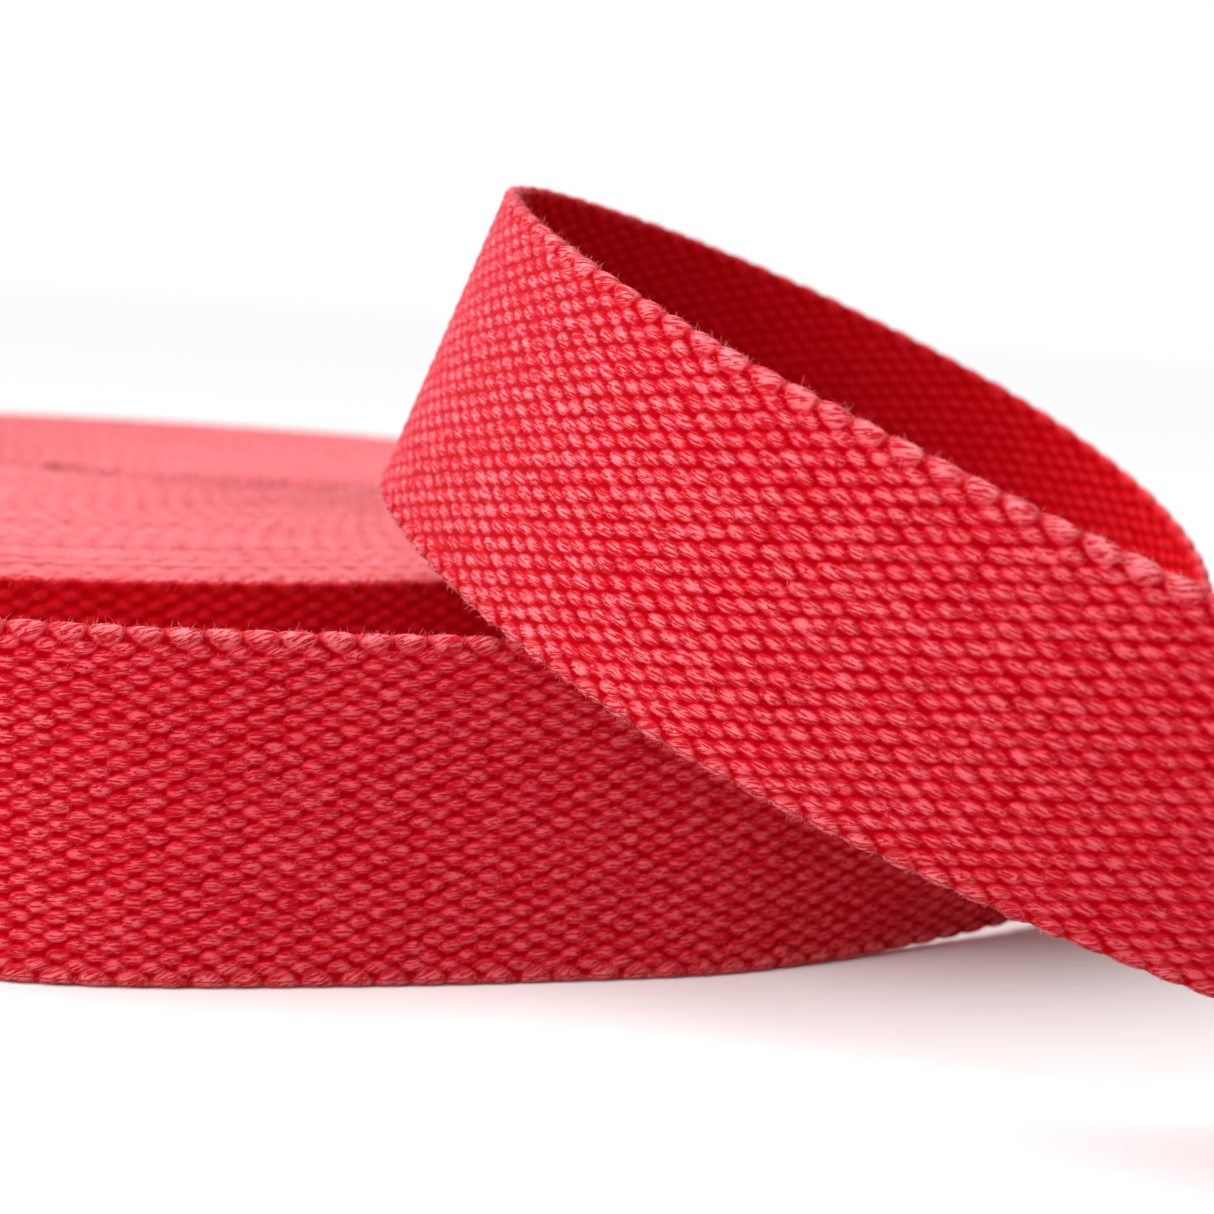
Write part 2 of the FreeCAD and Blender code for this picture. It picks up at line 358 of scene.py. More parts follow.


# ---------------------------------------------------------------- meshes


# Values kept at each vertex: crown, grain, edge, painted shade, place (3) and skin (3).
VALUES = 10
# The edge value on the coil's top and underside. It is 0 to 1 on single tape.
WOUND_EDGE = 2
# How many points cross each turn on the coil's top.
TOP_POINTS = 5


class Sheet:
    """Vertices, faces and values of one piece, gathered before its mesh is made."""

    def __init__(self):
        self.points = []
        self.values = []
        self.uvs = []
        self.faces = []
        self.rims = []
        self.count = 0

    def add_points(self, points, values, uvs):
        first = self.count
        self.points.append(points)
        self.values.append(values)
        self.uvs.append(uvs)
        self.count += len(points)
        return first

    def add_faces(self, faces, smooth=True, slot=0):
        self.faces.append((np.asarray(faces, np.int32), smooth, slot))

    def build(self, name, materials):
        points = np.concatenate(self.points) / 1000
        values = np.concatenate(self.values)
        uvs = np.concatenate(self.uvs)
        corners = [faces.ravel() for faces, _, _ in self.faces]
        sizes = [np.full(len(f), f.shape[1], np.int32) for f, _, _ in self.faces]
        smooth = [np.full(len(f), flag) for f, flag, _ in self.faces]
        slots = [np.full(len(f), slot, np.int32) for f, _, slot in self.faces]
        corners, sizes = np.concatenate(corners), np.concatenate(sizes)
        mesh = bpy.data.meshes.new(name)
        mesh.vertices.add(len(points))
        mesh.vertices.foreach_set("co", points.astype(np.float32).ravel())
        mesh.loops.add(len(corners))
        mesh.loops.foreach_set("vertex_index", corners)
        mesh.polygons.add(len(sizes))
        starts = np.concatenate([[0], np.cumsum(sizes)[:-1]]).astype(np.int32)
        mesh.polygons.foreach_set("loop_start", starts)
        mesh.polygons.foreach_set("use_smooth", np.concatenate(smooth))
        mesh.polygons.foreach_set("material_index", np.concatenate(slots))
        for index, label in enumerate(("crown", "grain", "edge", "painted_shade")):
            layer = mesh.attributes.new(label, "FLOAT", "POINT")
            layer.data.foreach_set("value", values[:, index].astype(np.float32))
        place = mesh.attributes.new("place", "FLOAT_VECTOR", "POINT")
        place.data.foreach_set("vector", values[:, 4:7].astype(np.float32).ravel())
        skin = mesh.attributes.new("skin", "FLOAT_VECTOR", "POINT")
        skin.data.foreach_set("vector", values[:, 7:10].astype(np.float32).ravel())
        uv = mesh.uv_layers.new(name="OFBake")
        uv.data.foreach_set("uv", uvs[corners].astype(np.float32).ravel())
        for material in materials:
            mesh.materials.append(material)
        mesh.update(calc_edges=True)
        mesh.validate()
        if self.rims:
            on_rim = np.zeros(len(points), bool)
            on_rim[np.concatenate(self.rims)] = True
            ends = np.zeros(2 * len(mesh.edges), np.int32)
            mesh.edges.foreach_get("vertices", ends)
            sharp = on_rim[ends.reshape(-1, 2)].all(axis=1)
            mesh.edges.foreach_set("use_edge_sharp", sharp)
        obj = bpy.data.objects.new(name, mesh)
        bpy.context.scene.collection.objects.link(obj)
        return obj


def grid_faces(first, rows, columns, wrap):
    """Quads of a grid of points stored row by row. wrap joins the last column to the first."""
    row = np.arange(rows - 1)[:, None] * columns + first
    column = np.arange(columns if wrap else columns - 1)[None, :]
    after = (column + 1) % columns
    quads = np.stack(
        [row + column, row + after, row + columns + after, row + columns + column], -1
    )
    return quads.reshape(-1, 4)


def make_fuzz(sheet, points, normals, values, count, longest, seed):
    """Loose fibres: thin closed strands that stand off the surface near the given points."""
    rng = np.random.default_rng(seed)
    root_index = rng.integers(0, len(points), count)
    root = points[root_index]
    normal = normals[root_index]
    spread = rng.normal(size=(count, 3))
    lean = normal + FIBRE_LEAN * spread
    lean /= np.linalg.norm(lean, axis=1, keepdims=True)
    curl = rng.normal(size=(count, 3))
    curl -= lean * np.sum(curl * lean, axis=1, keepdims=True)
    length = np.minimum(FIBRE_LENGTH + rng.exponential(FIBRE_LENGTH, count), longest)[:, None]
    side = np.cross(lean, curl)
    side /= np.linalg.norm(side, axis=1, keepdims=True)
    other = np.cross(lean, side)
    thick = rng.uniform(*FIBRE_THICKNESS, count)[:, None]
    foot = root - normal * FIBRE_ROOT
    rings = []
    for part, share in ((0.0, 1.0), (0.55, 0.75)):
        middle = foot + lean * (length * part) + curl * (length * FIBRE_CURL * part**2)
        for corner in range(3):
            angle = 2 * math.pi * corner / 3
            offset = side * math.cos(angle) + other * math.sin(angle)
            rings.append(middle + offset * thick * share)
    rings.append(foot + lean * length + curl * length * FIBRE_CURL)
    strand = np.stack(rings, 1)
    # None reaches into the table.
    clear = strand[:, :, 2].min(axis=1) > TABLE_CLEARANCE
    count = int(clear.sum())
    strand = strand[clear].reshape(-1, 3)
    strand_values = np.repeat(values[root_index[clear]], len(rings), axis=0)
    uv = np.stack([rng.uniform(0.02, 0.98, count), rng.uniform(0.985, 0.995, count)], 1)
    first = sheet.add_points(strand, strand_values, np.repeat(uv, len(rings), axis=0))
    base = first + len(rings) * np.arange(count)[:, None]
    for corner in range(3):
        after = (corner + 1) % 3
        sheet.add_faces(base + np.array([corner, after, 3 + after, 3 + corner]), slot=1)
        sheet.add_faces(base + np.array([3 + corner, 3 + after, 6]), slot=1)
    sheet.add_faces(base + np.array([2, 1, 0]), slot=1)


def ring_samples(outer_steps, edge_steps, inner_steps):
    """Ring coordinates of the vertices round the tape, with so many steps to each row."""
    outside = np.arange(int(FACE_ROWS * outer_steps)) / outer_steps
    inside = np.arange(0, FACE_ROWS, 1 / inner_steps)
    edge = FACE_ROWS + np.arange(EDGE_ROWS * edge_steps) / edge_steps
    half = RING_ROWS / 2
    return np.concatenate([outside, edge, half + inside, half + edge])


def make_tape(name, stations, u, fuzz_per_mm, seed, cut_end=False):
    """A closed length of woven tape over the given distances and ring coordinates."""
    point, along, across = path(stations)
    left = np.cross(across, along)
    s_grid, u_grid = np.meshgrid(stations, u, indexing="ij")
    height, owner = weave(s_grid, u_grid)
    v, n, normal_v, normal_n = section(u_grid)
    rim = edge_share(u_grid)
    # Where an edge stands on the table its grains are pressed level.
    low = point[:, 2] - across[:, 2] * TAPE_WIDTH / 2
    pressed = smooth_step((PRESS_LIMIT - low) / PRESS_FADE)[:, None] * np.clip(-normal_v, 0, 1)
    amplitude = GRAIN_HEIGHT + (LUMP_HEIGHT - GRAIN_HEIGHT) * rim
    lift = amplitude * (height + (1 - height) * PRESS_SHARE * pressed)
    v = v + normal_v * lift
    n = n + normal_n * lift
    fray = 0.0
    # The yarns of a cut end aren't all the same length.
    if cut_end:
        fray = sum(size * np.sin(u_grid * rate + phase) for size, rate, phase in FRAY_WAVES)
        fray = fray * smooth_step((s_grid - stations[-1] + FRAY_LENGTH) / FRAY_LENGTH)
    points = (
        point[:, None, :]
        + across[:, None, :] * v[..., None]
        + left[:, None, :] * n[..., None]
        + along[:, None, :] * (fray + 0 * v)[..., None]
    )
    points[..., 2] = np.maximum(points[..., 2], TABLE_CLEARANCE)
    normals = (
        across[:, None, :] * normal_v[..., None] + left[:, None, :] * normal_n[..., None]
    )
    shade = painted_shade(s_grid, normal_n)
    values = np.stack([height, owner, rim, shade, s_grid, u_grid * ROW, owner * 10], -1)
    values = np.concatenate([values, normals], -1)
    rows, columns = s_grid.shape
    uvs = np.stack(
        [
            np.broadcast_to(np.arange(columns) / (columns - 1), s_grid.shape),
            np.broadcast_to(np.linspace(0.0, 0.97, rows)[:, None], s_grid.shape),
        ],
        -1,
    )
    sheet = Sheet()
    flat_points = points.reshape(-1, 3)
    flat_values = values.reshape(-1, VALUES)
    first = sheet.add_points(flat_points, flat_values, uvs.reshape(-1, 2))
    sheet.add_faces(grid_faces(first, rows, columns, wrap=True))
    ring = first + np.arange(columns)
    sheet.add_faces(ring[None, ::-1], smooth=False)
    sheet.rims.append(ring)
    ring = ring + (rows - 1) * columns
    if cut_end:
        add_cut_face(sheet, points[-1], values[-1], along[-1], ring, seed)
    else:
        sheet.add_faces(ring[None, :], smooth=False)
        sheet.rims.append(ring)
    if fuzz_per_mm:
        amount = (stations[-1] - stations[0]) * fuzz_per_mm
        near_edge = (rim.ravel() > 0.6).nonzero()[0]
        everywhere = np.arange(len(flat_points))
        flat_normals = normals.reshape(-1, 3)
        for where, (share, longest) in ((near_edge, EDGE_FUZZ), (everywhere, FACE_FUZZ)):
            make_fuzz(
                sheet,
                flat_points[where],
                flat_normals[where],
                flat_values[where],
                int(amount * share),
                longest,
                seed + int(10 * share),
            )
    return sheet.build(name, [WEBBING, FUZZ])


def add_cut_face(sheet, ring_points, ring_values, along, ring, seed):
    """The cut end of the tape: rings of yarn ends, set in and out by a little."""
    rng = np.random.default_rng(seed + 50)
    columns = len(ring)
    middle = ring_points.mean(axis=0)
    loops = [ring]
    for share in (0.86, 0.70):
        inner = middle + (ring_points - middle) * share
        inner = inner + along * rng.uniform(-0.3, 0.35, (columns, 1))
        values = ring_values.copy()
        values[:, 0] = rng.uniform(0.2, 1.0, columns)
        uv_height = np.full(columns, 0.972 + 0.01 * share)
        uv = np.stack([np.arange(columns) / columns, uv_height], 1)
        start = sheet.add_points(inner, values, uv)
        loops.append(start + np.arange(columns))
    for outer, inner in zip(loops, loops[1:]):
        quads = np.stack([outer, np.roll(outer, -1), np.roll(inner, -1), inner], 1)
        sheet.add_faces(quads)
    sheet.add_faces(loops[-1][None, :])


def coil_distance(turn):
    """Distance s along the tape at a turn number counted from the inside of the coil."""
    last = INNER_TURNS - 1
    first_radius = COIL_HOLE_RADIUS + LAYER_STEP / 2
    swept = first_radius * (last - turn) + LAYER_STEP / 2 * (last**2 - turn**2)
    return -LAST_TURN_LENGTH - 2 * math.pi * swept


def coil_profile(turn, s):
    """
    The radius, height and values of the coil's surface at each point across a turn.

    Returns one list for the top and one for the underside, both from the inside out. The
    next turn's first point closes each.
    """
    inner_radius = COIL_HOLE_RADIUS + LAYER_STEP * turn
    middle = inner_radius + LAYER_STEP / 2
    heave = turn_heave(s)
    blank = 0 * s
    upward = (blank, blank, blank + 1)
    gap = GAP_WIDTH * np.exp(-(((turn - GAP_TURN) / GAP_TURNS) ** 2))
    gap_beyond = GAP_WIDTH * np.exp(-(((turn + 1 - GAP_TURN) / GAP_TURNS) ** 2))
    tops, bottoms = [], []
    for k in range(TOP_POINTS):
        u = SIDE_ROWS - EDGE_ROWS * k / TOP_POINTS + blank
        if k == 0:
            radius = inner_radius
            z = TAPE_WIDTH / 2 + FACE_HALF + VALLEY_RISE + heave - GAP_DEPTH * gap
            height, owner = VALLEY_CROWN + blank, 0.5 + blank
        else:
            height, owner = weave(s, u)
            v, n, normal_v, normal_n = section(u)
            lift = GRAIN_HEIGHT * (COIL_GRAIN_BASE + COIL_GRAIN_SHARE * height)
            z = TAPE_WIDTH / 2 + v + normal_v * lift + heave
            # The coil turns left, so the inside of the bend is towards the centre.
            radius = middle - (n + normal_n * lift)
            radius = radius + (gap * (TOP_POINTS - k) - gap_beyond * k) / (TOP_POINTS + 1)
        values = [height, owner, WOUND_EDGE + blank, blank, s, u * ROW, owner * 10, *upward]
        tops.append((radius, z, np.stack(values, -1)))
    for k, (drop, crown) in enumerate(UNDERSIDE):
        radius = inner_radius + LAYER_STEP * k / len(UNDERSIDE)
        z = TAPE_WIDTH / 2 - FACE_HALF + UNDERSIDE_RISE - drop + blank
        values = [crown + blank, 0.5 + blank, WOUND_EDGE + blank, blank, s, blank, blank, *upward]
        bottoms.append((radius, z, np.stack(values, -1)))
    return tops, bottoms


def make_coil_band(name, first_turn, last_turn, steps_per_turn, fuzz, seed):
    """Some turns of the coil: one closed solid with every edge of the tape on its top."""
    total = int(round((last_turn - first_turn) * steps_per_turn))
    turn = first_turn + np.arange(total + 1) / steps_per_turn
    angle = LEAVE_ANGLE - 2 * math.pi * (INNER_TURNS - turn)
    tops, bottoms = coil_profile(turn, coil_distance(turn))

    sheet = Sheet()
    columns = len(tops) + len(bottoms)
    lines = []
    for radius, z, _ in tops + bottoms:
        lines.append(np.stack([radius * np.cos(angle), radius * np.sin(angle), z], 1))
    points = np.stack(lines, 1).reshape(-1, 3)
    values = np.stack([values for _, _, values in tops + bottoms], 1).reshape(-1, VALUES)
    uvs = 0.5 + points[:, :2] / (2.1 * COIL_RADIUS)
    first = sheet.add_points(points, values, uvs)

    # The outside of the last turn has no neighbour to share points with.
    tail_station = np.arange(total - steps_per_turn, total + 1)
    tail_angle = angle[tail_station]
    tail_radius = COIL_HOLE_RADIUS + LAYER_STEP * (turn[tail_station] + 1)
    tail_x = tail_radius * np.cos(tail_angle)
    tail_y = tail_radius * np.sin(tail_angle)
    tail_values = values[tail_station * columns]
    tail_uv = uvs[tail_station * columns]
    tails = []
    for rise in (FACE_HALF + VALLEY_RISE, UNDERSIDE_RISE - FACE_HALF):
        tail_z = np.full_like(tail_x, TAPE_WIDTH / 2 + rise)
        tail_points = np.stack([tail_x, tail_y, tail_z], 1)
        tails.append(sheet.add_points(tail_points[1:], tail_values[1:], tail_uv[1:]))
    tail_top, tail_bottom = tails

    def vertex(j, k):
        """The vertex at station j and profile place k. The outer places are the next turn's."""
        j = np.asarray(j)
        if k == "outer_top":
            shared = first + (j + steps_per_turn) * columns
            own = tail_top + (j - (total - steps_per_turn) - 1)
        elif k == "outer_bottom":
            shared = first + (j + steps_per_turn) * columns + len(tops)
            own = tail_bottom + (j - (total - steps_per_turn) - 1)
        else:
            return first + j * columns + k
        return np.where(j + steps_per_turn <= total, shared, own)

    j = np.arange(total)
    inner_top, inner_bottom = 0, len(tops)
    top_ids = [*range(inner_top, inner_bottom), "outer_top"]
    bottom_ids = [*range(inner_bottom, columns), "outer_bottom"]
    for a, b in zip(top_ids, top_ids[1:]):
        quad = [vertex(j, a), vertex(j, b), vertex(j + 1, b), vertex(j + 1, a)]
        sheet.add_faces(np.stack(quad, 1))
    for a, b in zip(bottom_ids, bottom_ids[1:]):
        quad = [vertex(j + 1, a), vertex(j + 1, b), vertex(j, b), vertex(j, a)]
        sheet.add_faces(np.stack(quad, 1))
    j = np.arange(steps_per_turn)
    quad = [
        vertex(j, inner_bottom),
        vertex(j, inner_top),
        vertex(j + 1, inner_top),
        vertex(j + 1, inner_bottom),
    ]
    sheet.add_faces(np.stack(quad, 1))
    j = np.arange(total - steps_per_turn, total)
    quad = [
        vertex(j, "outer_top"),
        vertex(j, "outer_bottom"),
        vertex(j + 1, "outer_bottom"),
        vertex(j + 1, "outer_top"),
    ]
    sheet.add_faces(np.stack(quad, 1))
    for j, flip in ((0, False), (total, True)):
        ring = [int(vertex(j, k)) for k in top_ids]
        ring += [int(vertex(j, k)) for k in reversed(bottom_ids)]
        if not flip:
            ring = ring[::-1]
        sheet.add_faces(np.array(ring)[None, :], smooth=False)
    if fuzz:
        crest = np.tile(np.isin(np.arange(columns), top_ids[1:-1]), total + 1)
        up = np.tile([0.0, 0.0, 1.0], (crest.sum(), 1))
        make_fuzz(sheet, points[crest], up, values[crest], fuzz, COIL_FUZZ_LONGEST, seed)
    return sheet.build(name, [WEBBING, FUZZ])


# ---------------------------------------------------------------- materials


def new_material(name):
    material = bpy.data.materials.new(name)
    material.use_nodes = True
    tree = material.node_tree
    return material, tree, tree.nodes["Principled BSDF"]


def add_node(tree, kind, **settings):
    node = tree.nodes.new(kind)
    for key, value in settings.items():
        setattr(node, key, value)
    return node


def attribute(tree, name):
    """A value kept at the vertices of the mesh."""
    return add_node(tree, "ShaderNodeAttribute", attribute_name=name, attribute_type="GEOMETRY")


def ramp(tree, source, stops):
    node = tree.nodes.new("ShaderNodeValToRGB")
    band = node.color_ramp
    while len(band.elements) < len(stops):
        band.elements.new(0.5)
    for element, (position, colour) in zip(band.elements, stops):
        element.position = position
        element.color = (*colour, 1)
    tree.links.new(source, node.inputs["Fac"])
    return node.outputs["Color"]


def mix(tree, share, first, second):
    """Mix two colours. A share that isn't a socket is a plain number."""
    node = add_node(tree, "ShaderNodeMix", data_type="RGBA")
    for index, value in ((0, share), (6, first), (7, second)):
        socket = node.inputs[index]
        if isinstance(value, bpy.types.NodeSocket):
            tree.links.new(value, socket)
        elif isinstance(value, tuple):
            socket.default_value = (*value, 1)
        else:
            socket.default_value = value
    return node.outputs[2]


def compute(tree, operation, *inputs):
    node = add_node(tree, "ShaderNodeMath", operation=operation)
    for socket, value in zip(node.inputs, inputs):
        if isinstance(value, bpy.types.NodeSocket):
            tree.links.new(value, socket)
        else:
            socket.default_value = value
    return node.outputs[0]


def map_range(tree, value, low, high):
    """0 below low, 1 above high, with a smooth step between."""
    node = add_node(tree, "ShaderNodeMapRange", interpolation_type="SMOOTHSTEP")
    tree.links.new(value, node.inputs["Value"])
    node.inputs["From Min"].default_value = low
    node.inputs["From Max"].default_value = high
    return node.outputs["Result"]


def noise(tree, vector, cell, turn=0.0, detail=2.0, distortion=0.0):
    """Noise whose features are about the given cell in size, turned about Z."""
    stretch = add_node(tree, "ShaderNodeMapping", vector_type="TEXTURE")
    stretch.inputs["Rotation"].default_value = (0, 0, turn)
    stretch.inputs["Scale"].default_value = cell
    tree.links.new(vector, stretch.inputs["Vector"])
    texture = add_node(tree, "ShaderNodeTexNoise")
    texture.inputs["Scale"].default_value = 1.0
    texture.inputs["Detail"].default_value = detail
    texture.inputs["Distortion"].default_value = distortion
    tree.links.new(stretch.outputs["Vector"], texture.inputs["Vector"])
    return texture.outputs["Fac"]


# Linear colours of the yarn, from between the grains (0) up to their crowns. The darker colours
# between the grains are painted shade, and the pale crowns are painted highlight.
OPEN_YARN = [
    (0.00, (0.34, 0.000, 0.002)),
    (0.18, (0.42, 0.000, 0.004)),
    (0.42, (0.48, 0.001, 0.007)),
    (0.58, (0.80, 0.028, 0.048)),
    (0.74, (0.90, 0.130, 0.160)),
    (0.90, (0.94, 0.215, 0.250)),
]
# Painted shade: the deeper colours given to the sheltered inner faces.
PAINTED_SHADE_YARN = [
    (0.00, (0.50, 0.000, 0.002)),
    (0.50, (0.66, 0.001, 0.005)),
    (0.95, (0.84, 0.010, 0.024)),
]
LIGHTER_GRAIN = (0.96, 0.20, 0.23)
# Painted light: these colours stand in for shade on sides away from the light and on grain
# flanks, for highlight and sheen on edges and the coil's top (partly wear), for sheen at grazing
# angles, and for shade in the grooves between strands.
SHADED_SIDE_GRAIN = (0.74, 0.016, 0.030)
SHADED_FLANK = (0.56, 0.003, 0.012)
STRAND_GROOVE_SHADE = (0.56, 0.004, 0.015)
WORN_AND_LIT_EDGE = (0.97, 0.28, 0.31)
FADED_AND_LIT_EDGE = (0.97, 0.34, 0.36)
PAINTED_SHEEN = (0.94, 0.20, 0.24)
FUZZ_COLOURS = [(0.0, (0.90, 0.20, 0.23)), (1.0, (0.98, 0.42, 0.45))]


def dot(tree, first, second):
    """The dot product of two vectors. A tuple is a fixed vector."""
    node = add_node(tree, "ShaderNodeVectorMath", operation="DOT_PRODUCT")
    for socket, value in zip(node.inputs, (first, second)):
        if isinstance(value, tuple):
            socket.default_value = value
        else:
            tree.links.new(value, socket)
    return node.outputs["Value"]


def make_webbing():
    """Dyed cotton yarn with painted light: paler edges, partly wear and partly painted highlight,
    and painted shade on sheltered faces, grain flanks and grooves.
    """
    material, tree, shader = new_material("webbing")
    link = tree.links.new
    crown = attribute(tree, "crown").outputs["Fac"]
    yarn = attribute(tree, "grain").outputs["Fac"]
    edge = attribute(tree, "edge").outputs["Fac"]
    place = attribute(tree, "place").outputs["Vector"]
    skin = attribute(tree, "skin").outputs["Vector"]
    painted_shade_share = attribute(tree, "painted_shade").outputs["Fac"]
    body = add_node(tree, "ShaderNodeTexCoord").outputs["Object"]

    # place is in millimetres along and round the tape, and body in metres.
    # A few strands run from tip to tip of each grain, a little askew.
    level = noise(tree, place, (1.3, 0.24, 1.0), 0.05, 2.0, 0.6)
    slanted = noise(tree, place, (1.5, 0.26, 1.0), 0.48, 2.0, 0.6)
    on_lump = map_range(tree, edge, 0.04, 0.16)
    strand = compute(tree, "MULTIPLY", compute(tree, "SUBTRACT", slanted, level), on_lump)
    strand = map_range(tree, compute(tree, "ADD", strand, level), 0.43, 0.54)
    on_grain = map_range(tree, crown, 0.30, 0.60)
    groove = compute(tree, "MULTIPLY", compute(tree, "SUBTRACT", 1.0, strand), on_grain)

    colour = ramp(tree, crown, OPEN_YARN)
    lighter = compute(tree, "MULTIPLY", compute(tree, "MULTIPLY", yarn, 0.16), on_grain)
    colour = mix(tree, lighter, colour, LIGHTER_GRAIN)
    # Painted shade: grain crowns on the side that faces down or away from the light get a deeper
    # colour.
    facing_light = dot(tree, skin, (-0.5, 0.0, 0.8))
    shaded_side = compute(tree, "SUBTRACT", 1.0, map_range(tree, facing_light, -0.4, 0.5))
    shaded_side = compute(tree, "MULTIPLY", compute(tree, "MULTIPLY", shaded_side, 0.7), on_grain)
    colour = mix(tree, shaded_side, colour, SHADED_SIDE_GRAIN)
    # Edges are mixed towards pale pink, most on the coil's top: partly wear, partly painted
    # highlight and sheen.
    wound = map_range(tree, edge, 1.2, 2.0)
    raised = compute(tree, "MAXIMUM", on_grain, compute(tree, "MULTIPLY", wound, 0.45))
    pale = compute(tree, "MULTIPLY", raised, edge)
    pale = compute(tree, "MINIMUM", compute(tree, "MULTIPLY", pale, 0.38), 0.58)
    colour = mix(tree, pale, colour, WORN_AND_LIT_EDGE)
    # The edges of the wound turns, seen together on the coil's top, are paler in blotches: partly
    # fading, partly painted highlight and sheen.
    blotch = map_range(tree, noise(tree, body, (0.030, 0.012, 0.02), 0.1, 4.0, 0.3), 0.35, 0.65)
    faded_and_lit = compute(tree, "MULTIPLY", wound, raised)
    faded_and_lit = compute(tree, "MULTIPLY", compute(tree, "MULTIPLY_ADD", blotch, 0.30, 0.05), faded_and_lit)
    colour = mix(tree, faded_and_lit, colour, FADED_AND_LIT_EDGE)
    # Painted shade: the steep flanks of the grains get a deep, dark red.
    geometry = add_node(tree, "ShaderNodeNewGeometry")
    upright = dot(tree, skin, geometry.outputs["Normal"])
    flank = compute(tree, "SUBTRACT", 1.0, map_range(tree, upright, 0.35, 0.85))
    unwound = compute(tree, "SUBTRACT", 1.0, wound)
    flank = compute(tree, "MULTIPLY", compute(tree, "MULTIPLY", flank, 0.85), unwound)
    colour = mix(tree, flank, colour, SHADED_FLANK)
    # Painted sheen: where the weave is seen from low down, at a grazing angle, its colour is
    # mixed towards pale pink, standing in for the sheen of short fibres.
    cosine = dot(tree, skin, geometry.outputs["Incoming"])
    slant = compute(tree, "SUBTRACT", 1.0, compute(tree, "ABSOLUTE", cosine))
    flat = compute(tree, "SUBTRACT", 1.0, compute(tree, "MINIMUM", edge, 1.0))
    sheen_share = compute(tree, "MULTIPLY", compute(tree, "POWER", slant, 2.4), flat)
    cover = compute(tree, "MULTIPLY", sheen_share, compute(tree, "MULTIPLY_ADD", crown, 0.35, 0.30))
    colour = mix(tree, cover, colour, PAINTED_SHEEN)
    # Painted shade: the grooves between the strands are darker, less so on the coil's top and
    # under the painted sheen.
    depth = compute(tree, "MULTIPLY_ADD", wound, -0.65, 0.95)
    depth = compute(tree, "MULTIPLY", compute(tree, "MULTIPLY_ADD", sheen_share, -0.5, 1.0), depth)
    colour = mix(tree, compute(tree, "MULTIPLY", groove, depth), colour, STRAND_GROOVE_SHADE)
    # Painted shade on the sheltered faces: the inside of the loose tape and the coil's side
    # behind it.
    painted_shade_colour = ramp(tree, crown, PAINTED_SHADE_YARN)
    colour = mix(tree, compute(tree, "MULTIPLY", painted_shade_share, 0.92), colour, painted_shade_colour)
    link(colour, shader.inputs["Base Color"])
    shader.inputs["Roughness"].default_value = 0.95
    shader.inputs["Specular IOR Level"].default_value = 0.0

    lint = noise(tree, place, (0.5, 0.09, 1.0), 0.21, 2.0, 0.0)
    relief = compute(tree, "MULTIPLY_ADD", groove, -0.35, compute(tree, "MULTIPLY", lint, 0.4))
    bump = add_node(tree, "ShaderNodeBump")
    bump.inputs["Strength"].default_value = 1.0
    bump.inputs["Distance"].default_value = 0.00015
    link(relief, bump.inputs["Height"])
    link(bump.outputs["Normal"], shader.inputs["Normal"])
    return material


def make_fuzz_material():
    material, tree, shader = new_material("webbing_fuzz")
    yarn = attribute(tree, "grain").outputs["Fac"]
    colour = ramp(tree, yarn, FUZZ_COLOURS)
    tree.links.new(colour, shader.inputs["Base Color"])
    shader.inputs["Roughness"].default_value = 0.9
    shader.inputs["Specular IOR Level"].default_value = 0.0
    return material


def make_board(name, dark, light, scale):
    """Paper or board, mottled between two colours."""
    material, tree, shader = new_material(name)
    coordinates = add_node(tree, "ShaderNodeTexCoord")
    stretch = add_node(tree, "ShaderNodeMapping")
    stretch.inputs["Scale"].default_value = scale
    tree.links.new(coordinates.outputs["Object"], stretch.inputs["Vector"])
    texture = add_node(tree, "ShaderNodeTexNoise")
    texture.inputs["Scale"].default_value = 1.0
    texture.inputs["Detail"].default_value = 5.0
    tree.links.new(stretch.outputs["Vector"], texture.inputs["Vector"])
    colour = ramp(tree, texture.outputs["Fac"], [(0.3, dark), (0.7, light)])
    tree.links.new(colour, shader.inputs["Base Color"])
    shader.inputs["Roughness"].default_value = 0.85
    shader.inputs["Specular IOR Level"].default_value = 0.2
    bump = add_node(tree, "ShaderNodeBump")
    bump.inputs["Strength"].default_value = 0.4
    bump.inputs["Distance"].default_value = 0.0002
    tree.links.new(texture.outputs["Fac"], bump.inputs["Height"])
    tree.links.new(bump.outputs["Normal"], shader.inputs["Normal"])
    return material


# ---------------------------------------------------------------- the scene

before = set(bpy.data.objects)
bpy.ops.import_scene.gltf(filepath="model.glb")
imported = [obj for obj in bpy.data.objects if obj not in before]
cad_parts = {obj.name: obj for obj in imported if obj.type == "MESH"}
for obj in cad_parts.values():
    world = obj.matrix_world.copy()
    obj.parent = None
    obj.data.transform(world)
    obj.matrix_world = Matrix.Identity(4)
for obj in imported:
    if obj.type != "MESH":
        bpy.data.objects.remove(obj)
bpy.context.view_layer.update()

WEBBING = make_webbing()
FUZZ = make_fuzz_material()
DYED_BOARD = make_board("dyed_board", (0.80, 0.17, 0.19), (0.93, 0.30, 0.32), (400, 400, 60))
GUMMED_PAPER = make_board("gummed_paper", (0.62, 0.55, 0.40), (0.76, 0.70, 0.56), (150, 150, 500))

